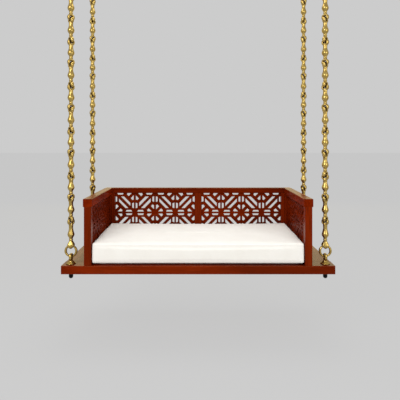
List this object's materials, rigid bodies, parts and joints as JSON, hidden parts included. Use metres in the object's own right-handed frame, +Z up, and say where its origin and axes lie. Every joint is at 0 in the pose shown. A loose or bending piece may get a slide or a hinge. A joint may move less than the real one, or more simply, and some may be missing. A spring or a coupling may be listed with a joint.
{
  "type": "jhoola swing",
  "caption": "Indoor swing bench: a wooden platform with a low fretted railing on three sides and a mattress, hung from the ceiling on turned brass chains.",
  "frame": {"origin": "centre of the rectangle of the four ceiling studs, in the ceiling plane", "axes": "+X to the right and +Y to the back as seen from the open front, +Z up; the platform hangs below"},
  "size_m": [1.524, 0.61, 1.958],
  "materials": {
    "polished_wood": "polished red-brown, clear gloss",
    "deck_board": "plain board, sealed",
    "brass": "polished cast brass",
    "black_cap": "black enamel",
    "mattress_cloth": "off-white cotton cover"
  },
  "bodies": {
    "ceiling": {"ceiling_eyes": "brass", "ceiling_roses": "brass"},
    "front_left_hanger": {"front_left_top_link": "brass"},
    "front_left_chain": {"front_left_links": "brass", "front_left_end_link": "brass"},
    "front_left_hoop": {"front_left_ring": "brass"},
    "front_right_hanger": {"front_right_top_link": "brass"},
    "front_right_chain": {"front_right_links": "brass", "front_right_end_link": "brass"},
    "front_right_hoop": {"front_right_ring": "brass"},
    "rear_left_hanger": {"rear_left_top_link": "brass"},
    "rear_left_chain": {"rear_left_links": "brass", "rear_left_end_link": "brass"},
    "rear_left_hoop": {"rear_left_ring": "brass"},
    "rear_right_hanger": {"rear_right_top_link": "brass"},
    "rear_right_chain": {"rear_right_links": "brass", "rear_right_end_link": "brass"},
    "rear_right_hoop": {"rear_right_ring": "brass"},
    "seat": {"base_front_board": "polished_wood", "base_rear_board": "polished_wood", "base_left_end": "polished_wood", "base_right_end": "polished_wood", "base_deck": "deck_board", "base_bearers": "deck_board", "left_front_post": "polished_wood", "left_rear_post": "polished_wood", "left_top_rail": "polished_wood", "left_bottom_rail": "polished_wood", "left_jali": "polished_wood", "right_front_post": "polished_wood", "right_rear_post": "polished_wood", "right_top_rail": "polished_wood", "right_bottom_rail": "polished_wood", "right_jali": "polished_wood", "back_top_rail": "polished_wood", "back_bottom_rail": "polished_wood", "back_left_stile": "polished_wood", "back_centre_stile": "polished_wood", "back_right_stile": "polished_wood", "back_left_jali": "polished_wood", "back_right_jali": "polished_wood", "mattress": "mattress_cloth", "eye_bolts": "brass", "collars": "brass", "cap_nuts": "black_cap"}
  },
  "joints": [
    {"name": "swing", "type": "hinge", "parent": "ceiling", "child": "front_left_hanger", "pos_m": [-0.72, -0.255, -0.06185], "axis": [1, 0, 0], "range_deg": [-25, 25]},
    {"name": "sway", "type": "hinge", "parent": "front_left_hanger", "child": "front_left_chain", "pos_m": [-0.72, -0.255, -0.18885], "axis": [0, 1, 0], "range_deg": [-10, 10]},
    {"name": "front_left_ring_tilt", "type": "hinge", "parent": "front_left_chain", "child": "front_left_hoop", "pos_m": [-0.72, -0.255, -1.73445], "axis": [0, 1, 0], "range_deg": [-10, 10]},
    {"name": "front_right_swing", "type": "hinge", "parent": "ceiling", "child": "front_right_hanger", "pos_m": [0.72, -0.255, -0.06185], "axis": [1, 0, 0], "range_deg": [-25, 25]},
    {"name": "front_right_sway", "type": "hinge", "parent": "front_right_hanger", "child": "front_right_chain", "pos_m": [0.72, -0.255, -0.18885], "axis": [0, 1, 0], "range_deg": [-10, 10]},
    {"name": "front_right_ring_tilt", "type": "hinge", "parent": "front_right_chain", "child": "front_right_hoop", "pos_m": [0.72, -0.255, -1.73445], "axis": [0, 1, 0], "range_deg": [-10, 10]},
    {"name": "rear_left_swing", "type": "hinge", "parent": "ceiling", "child": "rear_left_hanger", "pos_m": [-0.72, 0.255, -0.06185], "axis": [1, 0, 0], "range_deg": [-25, 25]},
    {"name": "rear_left_sway", "type": "hinge", "parent": "rear_left_hanger", "child": "rear_left_chain", "pos_m": [-0.72, 0.255, -0.18885], "axis": [0, 1, 0], "range_deg": [-10, 10]},
    {"name": "rear_left_ring_tilt", "type": "hinge", "parent": "rear_left_chain", "child": "rear_left_hoop", "pos_m": [-0.72, 0.255, -1.73445], "axis": [0, 1, 0], "range_deg": [-10, 10]},
    {"name": "rear_right_swing", "type": "hinge", "parent": "ceiling", "child": "rear_right_hanger", "pos_m": [0.72, 0.255, -0.06185], "axis": [1, 0, 0], "range_deg": [-25, 25]},
    {"name": "rear_right_sway", "type": "hinge", "parent": "rear_right_hanger", "child": "rear_right_chain", "pos_m": [0.72, 0.255, -0.18885], "axis": [0, 1, 0], "range_deg": [-10, 10]},
    {"name": "rear_right_ring_tilt", "type": "hinge", "parent": "rear_right_chain", "child": "rear_right_hoop", "pos_m": [0.72, 0.255, -1.73445], "axis": [0, 1, 0], "range_deg": [-10, 10]},
    {"name": "seat_level", "type": "hinge", "parent": "front_left_hoop", "child": "seat", "pos_m": [-0.72, -0.255, -1.78215], "axis": [1, 0, 0], "range_deg": [-25, 25]}
  ],
  "couplings": [
    {"joint": "front_left_ring_tilt", "follows": "sway", "ratio": -1},
    {"joint": "front_right_swing", "follows": "swing", "ratio": 1},
    {"joint": "front_right_sway", "follows": "sway", "ratio": 1},
    {"joint": "front_right_ring_tilt", "follows": "sway", "ratio": -1},
    {"joint": "rear_left_swing", "follows": "swing", "ratio": 1},
    {"joint": "rear_left_sway", "follows": "sway", "ratio": 1},
    {"joint": "rear_left_ring_tilt", "follows": "sway", "ratio": -1},
    {"joint": "rear_right_swing", "follows": "swing", "ratio": 1},
    {"joint": "rear_right_sway", "follows": "sway", "ratio": 1},
    {"joint": "rear_right_ring_tilt", "follows": "sway", "ratio": -1},
    {"joint": "seat_level", "follows": "swing", "ratio": -1}
  ]
}
